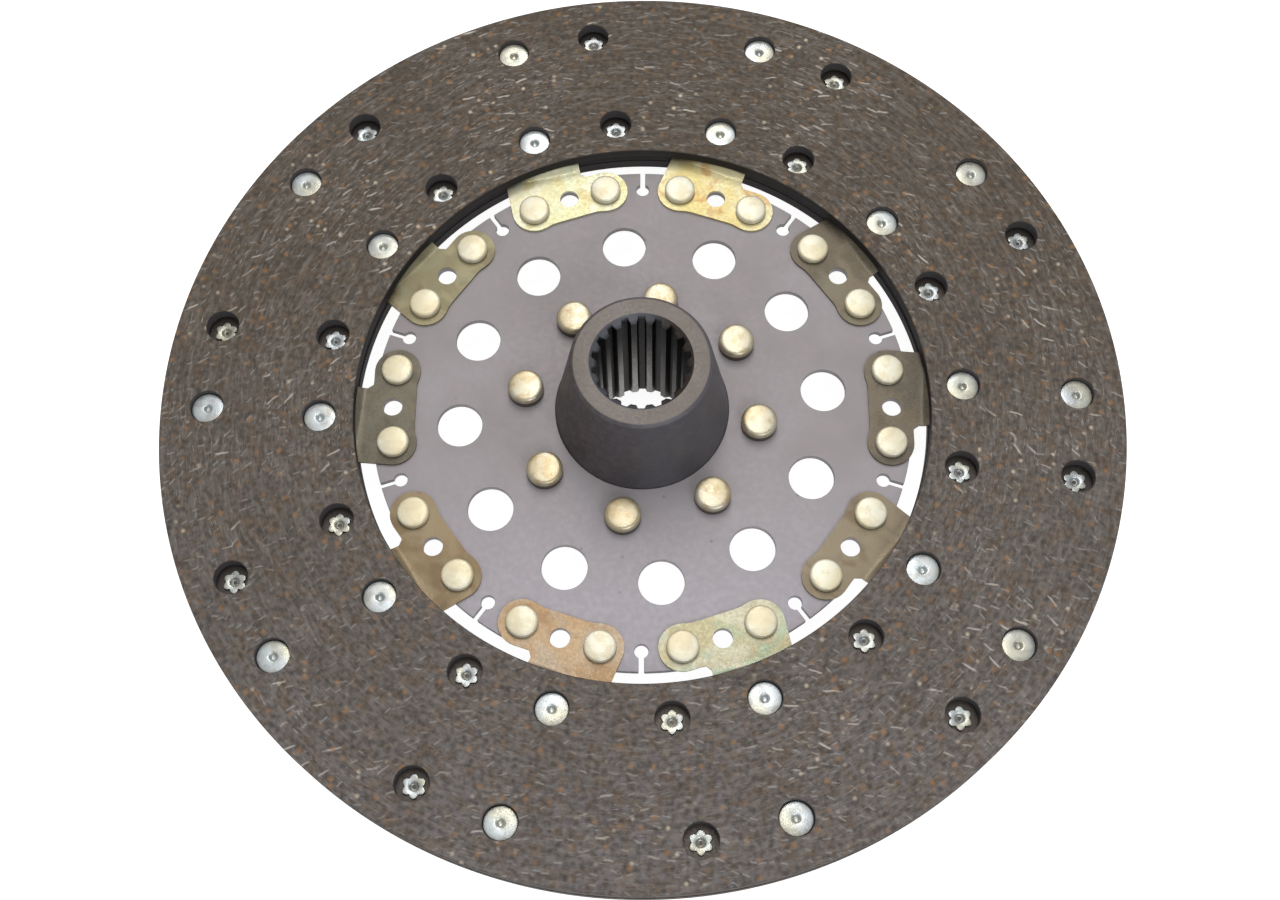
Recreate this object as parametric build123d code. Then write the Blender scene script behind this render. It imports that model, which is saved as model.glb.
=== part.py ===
"""Clutch driven plate with a rigid centre: hub, carrier plate, ten waved cushion segments, two
friction facings and their rivets. Millimetres, +Z up.

The origin is on the spline axis, midway between the facings. +Z is the side of the long hub
boss, and +Y runs through one keyhole of the carrier plate.
"""

from build123d import *
from math import cos, radians, sin, sqrt
import os

# Facings: two flat friction rings
facing_outer_diameter = 350
facing_inner_diameter = 210
facing_thickness = 4.8
facing_gap = 3.0  # held open by the waved blades between the facings

# Cushion segments: a flat foot on the carrier plate, level with the troughs of the waved blade
# between the facings
segment_count = 10
segment_thickness = 1.0
blade_outer_inset = 3.0  # blade's edge inside the facings' outer edge
blade_inner_inset = 1.5  # blade's edge outside the facings' inner edge
blade_gap_angle = 1.4  # between neighbouring blades
crest_margin = 0.4  # flat top of each wave, beyond the rivet tail on it
neck_width = 29.2
neck_bend_length = 5.0
neck_bend_overlap = 2.0  # bend's end, outside the facings' inner edge
foot_lead_angle = 4.9  # middle of the foot, from the blade's centreline
foot_rivet_half_angle = 9.0
foot_lobe_margin = 2.7  # lobe's edge outside the rivet head
foot_web_recess = 1.1  # inner edge between the lobes, set back from the lobes
foot_hole_diameter = 7.2

# Carrier plate, behind the feet
carrier_edge_gap = 5.8  # to the facings' inner edge
carrier_thickness = 2.5
foot_circle_inset = 7.4  # circle of the foot rivets, foot holes and keyholes, inside the plate's edge
light_hole_count = 12
light_hole_diameter = 16.5
light_hole_offset = 24.6  # circle of the light holes, inside the foot circle
light_hole_start_angle = -6.0  # clockwise from +Y
keyhole_diameter = 5.0
keyhole_slot_width = 1.9

# Hub
boss_height = 40.0  # end of the long boss, above the middle of the facings
rear_boss_depth = 25.0  # end of the short boss, below the middle of the facings
boss_tip_diameter = 49.6
boss_root_diameter = 63.6
boss_edge_chamfer = 1.0
register_clearance = 0.1  # carrier plate round the hub's register
flange_margin = 4.2  # flange's edge outside the hub rivets' tails
flange_thickness = 6.0
rear_boss_diameter = 54
rear_boss_chamfer = 1.5

# Spline: 35 x 31 with 18 teeth
spline_tooth_count = 18
spline_tip_diameter = 31.0
spline_tooth_height = 2.0
spline_space_at_root = 2.1
spline_space_at_tip = 3.4
spline_lead_in_margin = 0.7  # lead-in's edge outside the tooth roots

# Facing rivets: in each blade one row holds the front facing and one row the rear facing
facing_rivet_spacing = 32.4  # between the two rows, across the blade
facing_rivet_outer_inset = 16.6  # outer rivets, inside the facings' outer edge
facing_rivet_inner_inset = 12.4  # inner rivets, outside the facings' inner edge
facing_rivet_head_diameter = 10.4
facing_rivet_head_thickness = 1.2
facing_rivet_shank_diameter = 5.0
facing_rivet_tail_diameter = 7.2
facing_rivet_tail_thickness = 1.0
seat_clearance = 0.9  # round the rivet's head
seat_floor_thickness = 1.3

# Segment rivets: two through each foot
segment_rivet_head_diameter = 11.6
segment_rivet_head_thickness = 2.8
segment_rivet_shank_diameter = 6.0
segment_rivet_tail_diameter = 9.6
segment_rivet_tail_thickness = 1.5

# Hub rivets: carrier plate to hub flange
hub_rivet_count = 8
hub_rivet_offset = 11.5  # circle of the hub rivets, outside the boss's root
hub_rivet_start_angle = 9.0  # clockwise from +Y
hub_rivet_head_diameter = 13.4
hub_rivet_head_thickness = 5.4
hub_rivet_shank_diameter = 8.0
hub_rivet_tail_diameter = 13.0
hub_rivet_tail_thickness = 3.0

# Small rounds repeat over two hundred times, so they are drawn with flats to keep the faces few
head_sides = 8  # rivet heads and their seats
shank_sides = 6  # rivet shanks and tails, and the holes that the shanks fill
small_hole_sides = 8
light_hole_sides = 12
lobe_sides = 12

# Worked out from the above
segment_pitch = 360 / segment_count
blade_turn = segment_pitch / 2 - foot_lead_angle  # first blade's centreline, from +Y
facing_outer = facing_outer_diameter / 2
facing_inner = facing_inner_diameter / 2
half_sheet = segment_thickness / 2
foot_bottom = -facing_gap / 2
foot_top = foot_bottom + segment_thickness
carrier_outer = facing_inner - carrier_edge_gap
carrier_bottom = foot_bottom - carrier_thickness
foot_circle = carrier_outer - foot_circle_inset
foot_lobe_diameter = segment_rivet_head_diameter + 2 * foot_lobe_margin
light_hole_circle = foot_circle - light_hole_offset
hub_rivet_circle = boss_root_diameter / 2 + hub_rivet_offset
flange_radius = hub_rivet_circle + hub_rivet_tail_diameter / 2 + flange_margin
flange_bottom = carrier_bottom - flange_thickness
facing_bottom = facing_gap / 2
facing_top = facing_bottom + facing_thickness
seat_diameter = facing_rivet_head_diameter + 2 * seat_clearance
seat_floor = facing_bottom + seat_floor_thickness
crest_top = facing_gap / 2
crest_bottom = crest_top - segment_thickness
crest_half_width = facing_rivet_tail_diameter / 2 + crest_margin
crest_x = facing_rivet_spacing / 2
outer_row = sqrt((facing_outer - facing_rivet_outer_inset) ** 2 - crest_x**2)
inner_row = sqrt((facing_inner + facing_rivet_inner_inset) ** 2 - crest_x**2)
neck_bend_end = facing_inner + neck_bend_overlap
neck_bend_start = neck_bend_end - neck_bend_length


def prism(profile, low, high):
    """A flat profile run from one height up to another."""
    return Pos(0, 0, low) * extrude(profile, high - low)


def faceted(diameter, sides):
    """A small round as a regular polygon with its corners on the true circle."""
    return RegularPolygon(diameter / 2, sides)


def at_all(places, profile):
    return Sketch() + [place * profile for place in places]


def on_foot(angle):
    """A place on the foot circle, clockwise from the middle of the foot, in a segment's own frame."""
    return Rot(0, 0, foot_lead_angle - angle) * Pos(0, foot_circle)


def round_disc(places):
    """Places in one segment's own frame, repeated for every segment."""
    turns = [Rot(0, 0, blade_turn - n * segment_pitch) for n in range(segment_count)]
    return [turn * place for turn in turns for place in places]


def polar(radius, count, start_angle):
    """Places on a circle round the axis, from an angle clockwise from +Y."""
    return [Rot(0, 0, -start_angle - n * 360 / count) * Pos(0, radius) for n in range(count)]


foot_rivet_places = [on_foot(-foot_rivet_half_angle), on_foot(foot_rivet_half_angle)]
outer_front_place = Pos(-crest_x, outer_row)
inner_front_place = Pos(-crest_x, inner_row)
outer_rear_place = Pos(crest_x, outer_row)
inner_rear_place = Pos(crest_x, inner_row)
hub_rivet_places = polar(hub_rivet_circle, hub_rivet_count, hub_rivet_start_angle)

# Half a turn about the first blade's centreline swaps the front and the rear of the disc
centreline = Axis((0, 0, 0), (-sin(radians(blade_turn)), cos(radians(blade_turn)), 0))


def facing():
    """Front facing: a stepped seat for each of its own rivets, a clear hole over each other one."""
    own = round_disc([outer_front_place, inner_front_place])
    other = round_disc([outer_rear_place, inner_rear_place])
    plan = Circle(facing_outer) - Circle(facing_inner)
    plan -= at_all(other, faceted(seat_diameter, head_sides))
    floor = plan - at_all(own, faceted(facing_rivet_shank_diameter, shank_sides))
    wall = plan - at_all(own, faceted(seat_diameter, head_sides))
    return prism(floor, facing_bottom, seat_floor) + prism(wall, seat_floor, facing_top)


def wave_edges(height):
    """One face of the wave, across the blade: flat crests and troughs joined by S-shaped ramps."""
    rise = crest_top - half_sheet
    levels = [height - rise, height + rise, height - rise, height + rise]
    centres = [-3 * crest_x, -crest_x, crest_x, 3 * crest_x]
    edges = [Line((-facing_inner, levels[0]), (centres[0] + crest_half_width, levels[0]))]
    for n in range(3):
        start = (centres[n] + crest_half_width, levels[n])
        middle = (centres[n] + crest_x, height)
        end = (centres[n + 1] - crest_half_width, levels[n + 1])
        edges.append(TangentArc(start, middle, tangent=(1, 0)))
        edges.append(TangentArc(end, middle, tangent=(-1, 0)))
        flat_end = facing_inner if n == 2 else centres[n + 1] + crest_half_width
        edges.append(Line(end, (flat_end, levels[n + 1])))
    return edges


def wave():
    """Waved sheet with its crests and troughs along +Y."""
    top = wave_edges(half_sheet)
    bottom = wave_edges(-half_sheet)
    left = Line(bottom[0] @ 0, top[0] @ 0)
    right = Line(bottom[-1] @ 1, top[-1] @ 1)
    profile = make_face(top + bottom + [left, right])
    return Pos(0, facing_outer, 0) * extrude(Plane.XZ * profile, facing_outer)


def segment():
    """Cushion segment in its own frame, with the blade's centreline along +Y."""
    lobe_radius = foot_lobe_diameter / 2
    neck_left = foot_rivet_places[0].position.X - lobe_radius
    neck_right = neck_left + neck_width
    lobe_y = foot_rivet_places[0].position.Y
    low_corner = (Align.MIN, Align.MIN)

    # Blade: a sector of a ring, cut off level with the neck bend along and beside the neck
    outer = facing_outer - blade_outer_inset
    inner = facing_inner + blade_inner_inset
    half_angle = radians((segment_pitch - blade_gap_angle) / 2)
    far = (2 * outer * sin(half_angle), 2 * outer * cos(half_angle))
    plan = (Circle(outer) - Circle(inner)) & Polygon((0, 0), far, (-far[0], far[1]), align=None)
    plan -= Pos(neck_right - outer, 0) * Rectangle(outer, neck_bend_end, align=low_corner)
    sheet = wave()
    body = sheet & prism(plan, -facing_gap, facing_gap)

    # Neck bend: ruled from the flat foot's section to the wave's, corner to corner
    strip = Pos(neck_left, neck_bend_end) * Box(
        neck_width, facing_gap, 2 * facing_gap, align=(Align.MIN, Align.MIN, Align.CENTER)
    )
    waved_end = (sheet & strip).faces().sort_by(Axis.Y)[0]
    xs = sorted({round(corner.X, 6) for corner in waved_end.vertices()})
    section = [(x, neck_bend_start, foot_bottom) for x in xs]
    section += [(x, neck_bend_start, foot_top) for x in reversed(xs)]
    flat_end = make_face(Polyline(*section, close=True))
    body += loft([flat_end, waved_end], ruled=True)

    # Foot and neck: two lobes round the rivets, a web between them and the neck's strip
    web_y = foot_circle * cos(radians(foot_rivet_half_angle))
    web_width = 2 * foot_circle * sin(radians(foot_rivet_half_angle))
    web_low = web_y - lobe_radius + foot_web_recess
    web_high = web_y + lobe_radius
    lobes = [Pos(place.position) for place in foot_rivet_places]
    foot = at_all(lobes, faceted(foot_lobe_diameter, lobe_sides))
    foot += Rot(0, 0, foot_lead_angle) * Pos(-web_width / 2, web_low) * Rectangle(
        web_width, web_high - web_low, align=low_corner
    )
    foot += Pos(neck_left, lobe_y) * Rectangle(neck_width, neck_bend_start - lobe_y, align=low_corner)
    body += prism(foot, foot_bottom, foot_top)

    holes = at_all(foot_rivet_places, faceted(segment_rivet_shank_diameter, shank_sides))
    holes += on_foot(0) * faceted(foot_hole_diameter, small_hole_sides)
    rows = [outer_front_place, inner_front_place, outer_rear_place, inner_rear_place]
    holes += at_all(rows, faceted(facing_rivet_shank_diameter, shank_sides))
    return body - prism(holes, -facing_gap, facing_gap)


def carrier_plate():
    """Plate between the hub and the feet, with light holes and with keyholes open to its edge."""
    plan = Circle(carrier_outer) - Circle(boss_root_diameter / 2 + register_clearance)
    light_holes = polar(light_hole_circle, light_hole_count, light_hole_start_angle)
    plan -= at_all(light_holes, faceted(light_hole_diameter, light_hole_sides))
    slot = Rectangle(keyhole_slot_width, carrier_outer, align=(Align.CENTER, Align.MIN))
    keyhole = faceted(keyhole_diameter, small_hole_sides) + slot
    plan -= at_all(polar(foot_circle, segment_count, 0), keyhole)
    plan -= at_all(round_disc(foot_rivet_places), faceted(segment_rivet_shank_diameter, shank_sides))
    plan -= at_all(round_disc([on_foot(0)]), faceted(foot_hole_diameter, small_hole_sides))
    plan -= at_all(hub_rivet_places, faceted(hub_rivet_shank_diameter, shank_sides))
    return prism(plan, carrier_bottom, foot_bottom)


def hub():
    """Long tapered boss, register, flange and short rear boss, with a splined bore."""
    boss_root = boss_root_diameter / 2
    profile = Polyline(
        (0, -rear_boss_depth),
        (rear_boss_diameter / 2, -rear_boss_depth),
        (rear_boss_diameter / 2, flange_bottom),
        (flange_radius, flange_bottom),
        (flange_radius, carrier_bottom),
        (boss_root, carrier_bottom),
        (boss_root, foot_bottom),
        (boss_tip_diameter / 2, boss_height),
        (0, boss_height),
        close=True,
    )
    body = revolve(Plane.XZ * make_face(profile), Axis.Z)
    body = chamfer(body.edges().filter_by(GeomType.CIRCLE).sort_by(Axis.Z)[-1], boss_edge_chamfer)
    body = chamfer(body.edges().filter_by(GeomType.CIRCLE).sort_by(Axis.Z)[0], rear_boss_chamfer)

    # Bore: the teeth's tip circle and straight-flanked tooth spaces, with a 45 degree lead-in at each end
    tip = spline_tip_diameter / 2
    root = tip + spline_tooth_height
    half_tip_space = spline_space_at_tip / 2
    half_root_space = spline_space_at_root / 2
    flank_foot = sqrt(tip**2 - half_tip_space**2)
    space = Polygon(
        (-half_tip_space, 0),
        (half_tip_space, 0),
        (half_tip_space, flank_foot),
        (half_root_space, root),
        (-half_root_space, root),
        (-half_tip_space, flank_foot),
        align=None,
    )
    bore = Circle(tip) + at_all(polar(0, spline_tooth_count, 0), space)
    body -= prism(bore, -rear_boss_depth, boss_height)
    lead_in = root + spline_lead_in_margin
    depth = lead_in - tip
    body -= Pos(0, 0, boss_height - depth / 2) * Cone(tip, lead_in, depth)
    body -= Pos(0, 0, depth / 2 - rear_boss_depth) * Cone(lead_in, tip, depth)

    holes = at_all(hub_rivet_places, faceted(hub_rivet_shank_diameter, shank_sides))
    return body - prism(holes, flange_bottom, carrier_bottom)


def rivets(places, diameters, heights):
    """Separate rivets, from the diameters of head, shank and tail and the four heights that bound them."""
    group = Part()
    for diameter, sides, low, high in zip(
        diameters, (head_sides, shank_sides, shank_sides), heights[1:], heights
    ):
        group += prism(at_all(places, faceted(diameter, sides)), low, high)
    return group


def facing_rivets(place):
    """One row of front-headed rivets: head in the front facing's seat, tail behind the blade."""
    diameters = (facing_rivet_head_diameter, facing_rivet_shank_diameter, facing_rivet_tail_diameter)
    head_top = seat_floor + facing_rivet_head_thickness
    tail_end = crest_bottom - facing_rivet_tail_thickness
    return rivets(round_disc([place]), diameters, (head_top, seat_floor, crest_bottom, tail_end))


def segment_rivets():
    """Two rivets through each foot and the carrier plate."""
    diameters = (segment_rivet_head_diameter, segment_rivet_shank_diameter, segment_rivet_tail_diameter)
    head_top = foot_top + segment_rivet_head_thickness
    tail_end = carrier_bottom - segment_rivet_tail_thickness
    return rivets(round_disc(foot_rivet_places), diameters, (head_top, foot_top, carrier_bottom, tail_end))


def hub_rivets():
    """Rivets through the carrier plate and the hub's flange."""
    diameters = (hub_rivet_head_diameter, hub_rivet_shank_diameter, hub_rivet_tail_diameter)
    head_top = foot_bottom + hub_rivet_head_thickness
    tail_end = flange_bottom - hub_rivet_tail_thickness
    return rivets(hub_rivet_places, diameters, (head_top, foot_bottom, flange_bottom, tail_end))


os.makedirs("parts", exist_ok=True)
nodes = {"hub": hub(), "carrier_plate": carrier_plate()}
one_segment = segment()
for number, place in enumerate(round_disc([Pos(0, 0)]), start=1):
    nodes[f"cushion_segment_{number:02}"] = place * one_segment
nodes["facing_front"] = facing()
nodes["facing_rear"] = nodes["facing_front"].rotate(centreline, 180)
for row, place in (("outer", outer_front_place), ("inner", inner_front_place)):
    nodes[f"facing_rivets_front_{row}"] = facing_rivets(place)
    nodes[f"facing_rivets_rear_{row}"] = facing_rivets(place).rotate(centreline, 180)
nodes["segment_rivets"] = segment_rivets()
nodes["hub_rivets"] = hub_rivets()
for name, solid in nodes.items():
    export_step(solid, f"parts/{name}.step")
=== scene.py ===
from functools import partial

import bmesh
import bpy
import numpy as np
from mathutils import Matrix, Vector


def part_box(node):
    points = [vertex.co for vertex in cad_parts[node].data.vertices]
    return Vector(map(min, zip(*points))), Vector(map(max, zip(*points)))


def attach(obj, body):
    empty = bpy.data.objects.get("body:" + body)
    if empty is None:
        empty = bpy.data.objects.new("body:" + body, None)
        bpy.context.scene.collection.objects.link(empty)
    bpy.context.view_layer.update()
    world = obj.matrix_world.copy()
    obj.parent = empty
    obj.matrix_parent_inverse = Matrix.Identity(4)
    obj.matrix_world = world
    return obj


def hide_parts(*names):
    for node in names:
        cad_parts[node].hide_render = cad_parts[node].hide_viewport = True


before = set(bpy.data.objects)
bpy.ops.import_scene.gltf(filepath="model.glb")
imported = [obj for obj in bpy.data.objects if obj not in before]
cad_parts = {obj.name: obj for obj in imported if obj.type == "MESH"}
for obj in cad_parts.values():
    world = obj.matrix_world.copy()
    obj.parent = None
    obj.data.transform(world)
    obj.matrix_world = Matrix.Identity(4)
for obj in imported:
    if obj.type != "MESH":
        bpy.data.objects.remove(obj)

mm = 0.001
turn = 2 * np.pi
meshSettings = {"seam": 0.004, "sharpAngle": 32, "bevelAngle": 40, "bevelSteps": 2}
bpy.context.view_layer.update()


# surfaces
# sizes are in mm, and angles run clockwise from +Y, seen from the front of the disc

def polarPoint(radius, angle):
    # x = radius * sin(angle), y = radius * cos(angle)
    return np.stack(np.broadcast_arrays(radius * np.sin(angle), radius * np.cos(angle)), -1)


def gridPatch(points, closedColumns=False):
    # points[row, column] = (x, y, z), and one quad between each two neighbouring rows and columns
    rows, columns = points.shape[:2]
    column = np.arange(columns if closedColumns else columns - 1)
    row, column = np.meshgrid(np.arange(rows - 1), column, indexing="ij")
    nextRow, nextColumn = row + 1, (column + 1) % columns
    quads = [row * columns + column, row * columns + nextColumn,
             nextRow * columns + nextColumn, nextRow * columns + column]
    return points.reshape(-1, 3), np.stack(quads, -1).reshape(-1, 4)


def makePiece(name, patches, material, node=None, sheet=False):
    # joins the patches, closes their seams and turns the faces outwards, or upwards on a sheet;
    # then the piece takes the given material and, where a node is given, stands for that node
    starts = np.cumsum([0] + [len(points) for points, faces in patches])
    points = np.concatenate([points for points, faces in patches]) * mm
    faces = np.concatenate([faces + start for (_, faces), start in zip(patches, starts)])
    mesh = bpy.data.meshes.new(name)
    mesh.from_pydata(points.tolist(), [], faces.tolist())
    work = bmesh.new()
    work.from_mesh(mesh)
    bmesh.ops.remove_doubles(work, verts=work.verts, dist=meshSettings["seam"] * mm)
    bmesh.ops.recalc_face_normals(work, faces=work.faces)
    if sheet and sum(face.normal.z for face in work.faces) < 0:
        bmesh.ops.reverse_faces(work, faces=work.faces)
    work.to_mesh(mesh)
    work.free()
    mesh.polygons.foreach_set("use_smooth", np.ones(len(mesh.polygons), bool))
    if not sheet:
        mesh.set_sharp_from_angle(angle=np.radians(meshSettings["sharpAngle"]))
    piece = bpy.data.objects.new(name, mesh)
    bpy.context.collection.objects.link(piece)
    mesh.materials.append(material)
    if node:
        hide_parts(node)
        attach(piece, "root")
    return piece


def thicken(piece, thickness, offset, bevel):
    # a sheet gets its thickness and a small rounded edge
    solid = piece.modifiers.new("thickness", "SOLIDIFY")
    solid.thickness = thickness * mm
    solid.offset = offset
    edge = piece.modifiers.new("edge", "BEVEL")
    edge.width = bevel * mm
    edge.segments = meshSettings["bevelSteps"]
    edge.limit_method = "ANGLE"
    edge.angle_limit = np.radians(meshSettings["bevelAngle"])
    edge.harden_normals = True


def cellEdge(startAngle, endAngle, inner, outer, steps):
    # once round one cell of a ring: along its inner side, outwards, back along its outer side, inwards
    t = np.arange(steps) / steps
    along, back = startAngle + (endAngle - startAngle) * t, endAngle + (startAngle - endAngle) * t
    angle = np.concatenate([along, np.full(steps, endAngle), back, np.full(steps, startAngle)])
    out, home = inner + (outer - inner) * t, outer + (inner - outer) * t
    radius = np.concatenate([np.full(steps, inner), out, np.full(steps, outer), home])
    return polarPoint(radius, angle)


def holeBand(edge, centre, profile):
    # rings from a closed edge towards a hole: each is the circle of its radius about the hole's
    # centre, on the same rays as the edge's points, and a radius of None is the edge itself
    rays = (edge - centre) / np.linalg.norm(edge - centre, axis=1, keepdims=True)
    rings = []
    for radius, height in profile:
        ring = edge if radius is None else centre + radius * rays
        rings.append(np.column_stack([ring, np.full(len(ring), height)]))
    return gridPatch(np.stack(rings), closedColumns=True)


def latheStrip(profile, angles):
    # a profile of (radius, height) carried round the disc's axis
    profile = np.asarray(profile, float)
    plan = polarPoint(profile[:, :1], angles[None, :])
    height = np.broadcast_to(profile[:, 1:], plan.shape[:2])
    return gridPatch(np.dstack([plan, height]), closedColumns=True)


def turnedPieces(profile, places, columns, petals=0, notch=0.0):
    # one profile of (radius, height) turned about each place; where a row has a notch, its radius
    # is multiplied by 1 - notch * (1 - |cos(petals / 2 * angle)|)
    profile = np.asarray(profile, float)
    angle = turn * np.arange(columns) / columns
    notch = np.broadcast_to(notch, len(profile))
    radius = profile[:, :1] * (1 - notch[:, None] * (1 - np.abs(np.cos(petals / 2 * angle))))
    plan = polarPoint(radius, angle)
    height = np.broadcast_to(profile[:, 1:], radius.shape)
    return [gridPatch(np.dstack([plan + place, height]), closedColumns=True) for place in places]


def roundedProfile(corners, rounding, steps=4):
    # corner points (x, y, rounding on or off) joined by straight lines; a rounded corner is the
    # quadratic curve from `rounding` before it to `rounding` after it
    result = []
    for index, (x, y, isRound) in enumerate(corners):
        here = np.array([x, y], float)
        if not isRound:
            result.append(here)
            continue
        ends = []
        for step in (-1, 1):
            way = np.array(corners[index + step][:2], float) - here
            length = np.linalg.norm(way)
            ends.append(here + way / length * min(rounding, length / 2))
        for t in np.linspace(0, 1, steps):
            result.append((1 - t) ** 2 * ends[0] + 2 * t * (1 - t) * here + t ** 2 * ends[1])
    return np.array(result)


def turned(points, angle):
    # turns points clockwise about the disc's axis
    x, y = points[..., 0], points[..., 1]
    result = points.copy()
    result[..., 0] = x * np.cos(angle) + y * np.sin(angle)
    result[..., 1] = -x * np.sin(angle) + y * np.cos(angle)
    return result


# the disc's own layout

discSizes = {
    "segments": 10,
    "footMiddle": -18.0,          # first foot's middle, degrees clockwise
    "footLead": 4.9,              # foot's middle, degrees before its blade's centreline
    "footRivetAngle": 9.0,        # each side of the foot's middle
    "footCircleInset": 7.4,       # inside the carrier plate's edge
    "edgeGap": 5.8,               # carrier plate's edge to the facings
    "rivetSpacing": 32.4,         # between the two rows of facing rivets across a blade
    "outerRowInset": 16.6,
    "innerRowInset": 12.4,
    "bladeSheet": 1.0,
    "crestFlat": 4.0,             # half the flat width of each crest
}


def nodeSize(node):
    # outer radius, lowest and highest point of a node that is round the disc's axis
    low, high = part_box(node)
    return high.x / mm, low.z / mm, high.z / mm


facingOuter, facingBottom, facingTop = nodeSize("facing_front")
carrierOuter, carrierBottom, carrierTop = nodeSize("carrier_plate")
hubFlange, hubBottom, hubTop = nodeSize("hub")
facingInner = carrierOuter + discSizes["edgeGap"]
outerRow = facingOuter - discSizes["outerRowInset"]
innerRow = facingInner + discSizes["innerRowInset"]
footCircle = carrierOuter - discSizes["footCircleInset"]
crestX = discSizes["rivetSpacing"] / 2
waveRise = facingBottom - discSizes["bladeSheet"] / 2
pitch = turn / discSizes["segments"]
footAngles = np.radians(discSizes["footMiddle"]) + pitch * np.arange(discSizes["segments"])
bladeAngles = footAngles + np.radians(discSizes["footLead"])


def rowPlaces(row, side):
    # rivets of one row: side -1 is the front-headed row of each blade, +1 the rear-headed one
    return polarPoint(row, bladeAngles + side * np.arcsin(crestX / row))


def waveHeight(x):
    # flat crests and troughs every two crestX, and between them 1 - t * t up to the halfway point
    place = (x + crestX) / (2 * crestX)
    nearest = np.round(place)
    side = np.where(nearest % 2 == 0, 1, -1)
    flat = discSizes["crestFlat"]
    t = np.clip((np.abs(place - nearest) * 2 * crestX - flat) / (crestX - flat), 0, 1)
    return waveRise * side * (1 - t ** 2)


# friction facings

facingSettings = {
    "seatRadius": 6.1,
    "seatFloor": 1.3,             # thickness left under a rivet's head
    "shankRadius": 2.5,
    "rim": 0.35,                  # worn edge of the ring
    "holeRim": 0.25,
    "cellSteps": 14,
}


def facingPatches(side):
    # front facing; the rear one is the same with its heights and its two rows swapped
    s = facingSettings
    rim, floor = s["rim"], facingBottom + s["seatFloor"]
    mouth = [(None, facingTop), (s["seatRadius"] + s["holeRim"], facingTop),
             (s["seatRadius"], facingTop - s["holeRim"])]
    seat = mouth + [(s["seatRadius"], floor), (s["shankRadius"], floor),
                    (s["shankRadius"], facingBottom), (None, facingBottom)]
    clear = mouth + [(s["seatRadius"], facingBottom), (None, facingBottom)]
    middle = (facingInner + facingOuter) / 2
    patches = []
    for inner, outer, row in ((facingInner + rim, middle, innerRow), (middle, facingOuter - rim, outerRow)):
        for half in (-1, 1):
            for angle, centre in zip(bladeAngles, rowPlaces(row, half)):
                start, end = sorted((angle, angle + half * pitch / 2))
                edge = cellEdge(start, end, inner, outer, s["cellSteps"])
                patches.append(holeBand(edge, centre, seat if half == -side else clear))
    columns = 2 * discSizes["segments"] * s["cellSteps"]
    angles = bladeAngles[0] + turn * np.arange(columns) / columns
    for edge, inside in ((facingOuter, -rim), (facingInner, rim)):
        patches.append(latheStrip([(edge + inside, facingTop), (edge, facingTop - rim),
                                   (edge, facingBottom), (edge + inside, facingBottom)], angles))
    return [(points * (1, 1, side), faces) for points, faces in patches]


# carrier plate

carrierSettings = {
    "hubHole": 31.9,
    "plainRing": 50.0,            # outer radius of the ring that holds the hub rivets
    "lightRing": 82.5,            # outer radius of the ring that holds the light holes
    "lightHoles": 12,
    "lightStart": -6.0,
    "lightCircleInset": 32.0,
    "lightRadius": 8.25,
    "footHoleRadius": 3.6,
    "keyholeRadius": 2.5,
    "slotWidth": 1.9,
    "columns": 240,
    "bevel": 0.22,
}


def keyholePatch(centreAngle, halfAngle, inner, outer, steps):
    # between two open lines with the same number of points: the cell's edge from one side of the
    # slot round to the other, and the slot's wall, the keyhole's round and the slot's other wall
    s = carrierSettings
    half = s["slotWidth"] / 2
    count = steps // 2 + 1
    rim = polarPoint(outer, np.append(np.arcsin(half / outer), np.linspace(0, halfAngle, count)[1:]))
    u = np.arange(1, steps + 1) / steps
    down = polarPoint(outer + (inner - outer) * u, np.full(steps, halfAngle))
    across = polarPoint(np.full(steps, inner), halfAngle - 2 * halfAngle * u)
    up = polarPoint(inner + (outer - inner) * u, np.full(steps, -halfAngle))
    edge = np.concatenate([rim, down, across, up, (rim * (-1, 1))[::-1][1:]])
    neckY = footCircle + np.sqrt(s["keyholeRadius"] ** 2 - half ** 2)
    wallY = np.linspace(np.sqrt(outer ** 2 - half ** 2), neckY, count)
    wall = np.stack([np.full(count, half), wallY], -1)
    openAngle = np.arcsin(half / s["keyholeRadius"])
    around = np.linspace(openAngle, turn - openAngle, 3 * steps + 1)[1:]
    circle = polarPoint(s["keyholeRadius"], around) + (0, footCircle)
    slot = np.concatenate([wall, circle, (wall * (-1, 1))[::-1][1:]])
    flat = np.stack([edge, slot])
    return gridPatch(turned(np.dstack([flat, np.zeros(flat.shape[:2])]), centreAngle))


def carrierPatches():
    # a flat sheet in three rings: plain, light holes, and foot holes with keyholes between them
    s = carrierSettings
    columns = s["columns"]
    angles = turn * np.arange(columns) / columns
    patches = [latheStrip([(s["hubHole"], 0), (s["plainRing"], 0)], angles)]
    lightPitch = turn / s["lightHoles"]
    steps = columns // s["lightHoles"]
    for angle in np.radians(s["lightStart"]) + lightPitch * np.arange(s["lightHoles"]):
        edge = cellEdge(angle - lightPitch / 2, angle + lightPitch / 2, s["plainRing"], s["lightRing"], steps)
        centre = polarPoint(carrierOuter - s["lightCircleInset"], angle)
        patches.append(holeBand(edge, centre, [(None, 0), (s["lightRadius"], 0)]))
    steps = columns // (2 * discSizes["segments"])
    for angle in footAngles:
        edge = cellEdge(angle - pitch / 4, angle + pitch / 4, s["lightRing"], carrierOuter, steps)
        patches.append(holeBand(edge, polarPoint(footCircle, angle), [(None, 0), (s["footHoleRadius"], 0)]))
        patches.append(keyholePatch(angle + pitch / 2, pitch / 4, s["lightRing"], carrierOuter, steps))
    return [(points + (0, 0, carrierTop), faces) for points, faces in patches]


# cushion segments

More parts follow.
